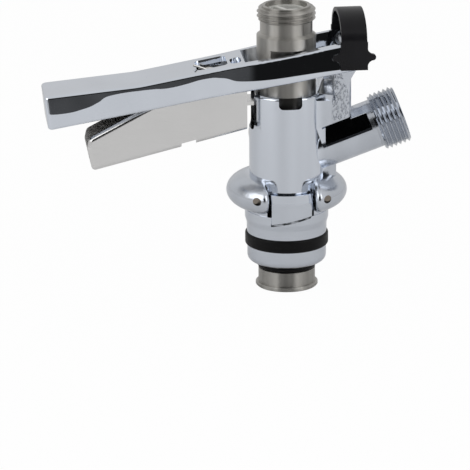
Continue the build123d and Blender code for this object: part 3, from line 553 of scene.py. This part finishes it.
def groove_cutter(name, mount, start, end, body):
    """A screw-shaped ridge that cuts a V groove into the plain collar round a mount's axis."""
    origin = Vector(mount["pos_m"])
    up = Vector(mount["axis"]).normalized()
    across = up.cross(Vector((0, 1, 0))).normalized()
    along = up.cross(across)
    section = groove_section(mount["dims"]["r_mm"] / 1000)
    mesh = bmesh.new()
    rows = []
    for i in range(int((end - start) / THREAD_PITCH * STEPS_PER_TURN) + 1):
        angle = 2 * pi * i / STEPS_PER_TURN
        height = start + THREAD_PITCH * i / STEPS_PER_TURN
        out = across * cos(angle) + along * sin(angle)
        rows.append([mesh.verts.new(origin + out * r + up * (height + h)) for r, h in section])
    for row, after in zip(rows, rows[1:]):
        bridge(mesh, row, after)
    capped(mesh, rows[0], rows[-1])
    for face in mesh.faces:
        face.smooth = True
    for row, after in zip(rows, rows[1:]):
        for point, follows in zip(row, after):
            mesh.edges.get((point, follows)).smooth = False
    return as_cutter(object_from(mesh, name), body)


def notch_block():
    """A block that cuts the small notch in the lower edge of the trigger's channel."""
    mesh = bmesh.new()
    ends = []
    for x in NOTCH_X:
        edge = CHANNEL_LOW + (x - NOTCH_X[0]) * CHANNEL_RISE
        low, high = edge - NOTCH_BELOW, edge + NOTCH_H
        corners = ((-NOTCH_HALF, low), (NOTCH_HALF, low), (NOTCH_HALF, high), (-NOTCH_HALF, high))
        ends.append([mesh.verts.new((x, y, z)) for y, z in corners])
    bridge(mesh, *ends)
    capped(mesh, *ends)
    return as_cutter(object_from(mesh, "notch_block"), "trigger")


# ---------------------------------------------------------------- cuts
def difference(g, drawn, cutter):
    """The drawn mesh, welded and less the cutter."""
    weld = g.node("GeometryNodeMergeByDistance")
    weld.inputs["Distance"].default_value = WELD_DISTANCE
    g.link(drawn, weld.inputs["Geometry"])
    tool = g.node("GeometryNodeObjectInfo", transform_space="RELATIVE")
    tool.inputs["Object"].default_value = cutter
    boolean = g.node("GeometryNodeMeshBoolean", operation="DIFFERENCE", solver="EXACT")
    g.link(weld.outputs["Geometry"], boolean.inputs["Mesh 1"])
    g.link(tool.outputs["Geometry"], boolean.inputs["Mesh 2"])
    return boolean.outputs["Mesh"]


def opened_creases(g, mesh):
    """The mesh with its creases opened, so that a corner's normal isn't shared across them."""
    bend = g.node("GeometryNodeInputMeshEdgeAngle").outputs["Unsigned Angle"]
    opened = g.node("GeometryNodeSplitEdges")
    g.link(mesh, opened.inputs["Mesh"])
    g.link(g.compared("GREATER_THAN", bend, CREASE), opened.inputs["Selection"])
    return opened.outputs["Mesh"]


def inside_own_face(g, centre):
    """The place of each corner, moved a little way into its own face."""
    inside = g.node("ShaderNodeMix", data_type="VECTOR")
    inside.inputs["Factor"].default_value = INWARD
    g.link(g.node("GeometryNodeInputPosition").outputs[0], inside.inputs[4])
    g.link(centre, inside.inputs[5])
    return inside.outputs[1]


def drawn_normal(g, drawn, place):
    """The normal that the drawn mesh has nearest to a place."""
    look = g.node("GeometryNodeSampleNearestSurface", data_type="FLOAT_VECTOR")
    g.link(drawn, look.inputs["Mesh"])
    g.link(g.node("GeometryNodeInputNormal").outputs["Normal"], look.inputs["Value"])
    g.link(place, look.inputs["Sample Position"])
    return look.outputs["Value"]


def corner_normal(g, drawn):
    """The drawn normal, or the face's own where the face is new or the drawn one is a neighbour's."""
    centre = g.node("GeometryNodeFieldOnDomain", domain="FACE", data_type="FLOAT_VECTOR")
    g.link(g.node("GeometryNodeInputPosition").outputs[0], centre.inputs[0])
    away = g.node("GeometryNodeProximity", target_element="FACES")
    g.link(drawn, away.inputs[0])
    g.link(centre.outputs[0], away.inputs["Sample Position"])
    found = drawn_normal(g, drawn, inside_own_face(g, centre.outputs[0]))
    own = g.node("GeometryNodeInputNormal").outputs["True Normal"]
    agree = g.node("ShaderNodeVectorMath", operation="DOT_PRODUCT")
    g.link(found, agree.inputs[0])
    g.link(own, agree.inputs[1])
    either = g.node("FunctionNodeBooleanMath", operation="OR")
    g.link(g.compared("GREATER_THAN", away.outputs["Distance"], NEW_FACE_DISTANCE), either.inputs[0])
    g.link(g.compared("LESS_THAN", agree.outputs["Value"], SAME_WAY), either.inputs[1])
    pick = g.node("GeometryNodeSwitch", input_type="VECTOR")
    for socket, out in zip(pick.inputs, (either.outputs[0], found, own)):
        g.link(out, socket)
    return pick.outputs[0]


def cut(node, cutter):
    """Cuts a node's mesh with geometry nodes and gives every face that is left its drawn normals back."""
    tree = bpy.data.node_groups.new(node + "_cut", "GeometryNodeTree")
    for way in ("INPUT", "OUTPUT"):
        tree.interface.new_socket("Geometry", in_out=way, socket_type="NodeSocketGeometry")
    g = Graph(tree)
    drawn = g.node("NodeGroupInput").outputs[0]
    give = g.node("GeometryNodeSetMeshNormal", mode="FREE", domain="CORNER")
    g.link(opened_creases(g, difference(g, drawn, cutter)), give.inputs["Mesh"])
    g.link(corner_normal(g, drawn), give.inputs["Custom Normal"])
    g.link(give.outputs[0], g.node("NodeGroupOutput").inputs[0])
    nodes[node].modifiers.new("cut", "NODES").node_group = tree


gas = groove_cutter("gas_thread_groove", mounts["gas_inlet"], *GAS_GROOVE, "root")
beer = groove_cutter("beer_thread_groove", mounts["beer_outlet"], *BEER_GROOVE, "probe")
cut("body_casting", gas)
cut("probe", beer)
cut("trigger", notch_block())


# ---------------------------------------------------------------- cast shelf behind the barrel's rim
def smooth(share):
    """Rises from 0 to 1 with level ends, and stays at 1."""
    share = min(1.0, share)
    return share * share * (3 - 2 * share)


def shelf_grids(mesh):
    """The shelf's top and underside, in rows of points that run from the rim to the bracket."""
    tops = []
    floors = []
    for i in range(SHELF_ROWS + 1):
        from_middle = 2 * i / SHELF_ROWS - 1
        angle = SHELF_SPREAD * from_middle
        rise = SHELF_RISE * smooth((1 - abs(from_middle)) * SHELF_ENDS)
        tops.append([])
        floors.append([])
        for j in range(SHELF_COLUMNS + 1):
            share = j / SHELF_COLUMNS
            r = SHELF_START + (BRACKET_BACK / cos(angle) - SHELF_START) * share
            lift = rise * smooth(share / SHELF_STEEP)
            x, y = r * cos(angle), r * sin(angle)
            tops[-1].append(mesh.verts.new((x, y, RIM_TOP - SHELF_SINK + lift)))
            floors[-1].append(mesh.verts.new((x, y, RIM_TOP - SHELF_DEPTH)))
    return tops, floors


def strip(mesh, row, after):
    """Faces between two rows with as many points each."""
    for j in range(len(row) - 1):
        mesh.faces.new((row[j], row[j + 1], after[j + 1], after[j]))


def casting_shelf():
    """The cast fillet that rises from the barrel's rim to the bracket's inner face."""
    mesh = bmesh.new()
    tops, floors = shelf_grids(mesh)
    for grid in (tops, floors):
        for row, after in zip(grid, grid[1:]):
            strip(mesh, row, after)
    for j in (0, -1):
        strip(mesh, [row[j] for row in tops], [row[j] for row in floors])
    for i in (0, -1):
        strip(mesh, tops[i], floors[i])
    bmesh.ops.recalc_face_normals(mesh, faces=mesh.faces)
    for face in mesh.faces:
        face.smooth = True
    for edge in mesh.edges:
        edge.smooth = edge.calc_face_angle() < SHELF_CREASE
    shelf = object_from(mesh, "casting_shelf")
    shelf.data.materials.append(by_slot["cast_chrome"])
    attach(shelf, "root")


casting_shelf()


# ---------------------------------------------------------------- floor, light and camera
def floor_material():
    """Plain pale floor, which the camera sees as white with the object's shadow on it."""
    g = Material("floor_white")
    g.set(Base_Color=(FLOOR_TONE, FLOOR_TONE, FLOOR_TONE, 1), Roughness=0.9)
    glow = g.node("ShaderNodeEmission")
    path = g.node("ShaderNodeLightPath")
    mix = g.node("ShaderNodeMixShader")
    g.link(g.maths("MULTIPLY", path.outputs["Is Camera Ray"], FLOOR_GLOW), mix.inputs["Fac"])
    g.link(g.shader.outputs[0], mix.inputs[1])
    g.link(glow.outputs[0], mix.inputs[2])
    g.link(mix.outputs[0], g.tree.nodes["Material Output"].inputs["Surface"])
    return g.material


def studio_floor(height):
    mesh = bmesh.new()
    half = FLOOR_SIZE / 2
    corners = [(-half, -half), (half, -half), (half, half), (-half, half)]
    mesh.faces.new([mesh.verts.new((x, y, 0)) for x, y in corners])
    floor = object_from(mesh, "floor")
    floor.location = (0, 0, height)
    floor.data.materials.append(floor_material())


def dark_gap(g, x, y, z):
    """Where the unlit room behind the camera is, as a share that is 1 in its middle."""
    turn = g.maths("ARCTAN2", x, g.maths("MULTIPLY", y, -1.0))
    beside = g.maths("ABSOLUTE", g.maths("SUBTRACT", turn, GAP_TURN))
    within = g.maths("MULTIPLY", beside, -1.0)
    under = g.maths("MULTIPLY", z, -1.0)
    sides = g.step(within, -GAP_HALF - GAP_SIDE_SOFT, -GAP_HALF + GAP_SIDE_SOFT)
    top = g.step(under, -GAP_TOP - GAP_TOP_SOFT, -GAP_TOP + GAP_TOP_SOFT)
    return g.maths("MULTIPLY", sides, top)


def studio_world():
    """A soft pale room with a dark gap on the front side, where the room behind a camera isn't lit."""
    world = bpy.data.worlds.new("studio")
    bpy.context.scene.world = world
    world.use_nodes = True
    g = Graph(world.node_tree)
    x, y, z = g.parts_of(g.node("ShaderNodeTexCoord").outputs["Generated"])
    deep = g.maths("MULTIPLY_ADD", g.step(z, 0.02, 0.13), GAP_DEEPENS, GAP_DEPTH)
    lit = g.maths("SUBTRACT", 1.0, g.maths("MULTIPLY", dark_gap(g, x, y, z), deep))
    level = g.maths("MULTIPLY", g.maths("MULTIPLY_ADD", g.step(z, -0.2, 0.9), ROOM_RISE, ROOM), lit)
    seen = g.node("ShaderNodeLightPath").outputs["Is Camera Ray"]
    unseen = g.maths("MULTIPLY", level, g.maths("SUBTRACT", 1.0, seen))
    background = g.tree.nodes["Background"]
    g.link(g.maths("ADD", unseen, seen), background.inputs["Strength"])
    background.inputs["Color"].default_value = (1, 1, 1, 1)


def softbox(name, turn, size, aim_at):
    """A soft lamp aimed at the object, as bright as a sheet that gives off the lamps' level."""
    light = bpy.data.lights.new(name, "AREA")
    light.shape = "RECTANGLE"
    light.size, light.size_y = size
    light.energy = LAMP_LEVEL * pi * size[0] * size[1]
    lamp = bpy.data.objects.new(name, light)
    out = Vector((sin(turn) * cos(LAMP_RISE), -cos(turn) * cos(LAMP_RISE), sin(LAMP_RISE)))
    lamp.location = aim_at + out * LAMP_DISTANCE
    lamp.rotation_euler = (-out).to_track_quat("-Z", "Y").to_euler()
    bpy.context.scene.collection.objects.link(lamp)


def front_camera():
    """A long lens at the front, a little above the object and turned towards the lever's side."""
    right = Vector((cos(VIEW_TURN), -sin(VIEW_TURN), 0))
    ahead = Vector((sin(VIEW_TURN) * cos(VIEW_DOWN), cos(VIEW_TURN) * cos(VIEW_DOWN), -sin(VIEW_DOWN)))
    upward = right.cross(ahead)
    place = right * AIM_RIGHT + upward * AIM_UP - ahead * VIEW_DISTANCE
    camera = bpy.data.objects.new("camera", bpy.data.cameras.new("camera"))
    camera.data.sensor_width = SENSOR_WIDTH
    camera.data.lens = SENSOR_WIDTH * VIEW_DISTANCE / VIEW_WIDTH
    camera.data.clip_start = 0.05
    camera.data.clip_end = 20
    axes = Matrix((right, upward, -ahead)).transposed() @ Matrix.Rotation(VIEW_ROLL, 3, "Z")
    camera.matrix_world = Matrix.Translation(place) @ axes.to_4x4()
    bpy.context.scene.collection.objects.link(camera)
    bpy.context.scene.camera = camera


lowest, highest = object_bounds()
middle = (lowest + highest) / 2
studio_floor(lowest.z - FLOOR_GAP)
studio_world()
softbox("softbox_left", radians(-65), (0.65, 0.6), middle)
softbox("softbox_right", radians(43), (0.50, 0.6), middle)
front_camera()
bpy.context.scene.view_settings.view_transform = "Standard"
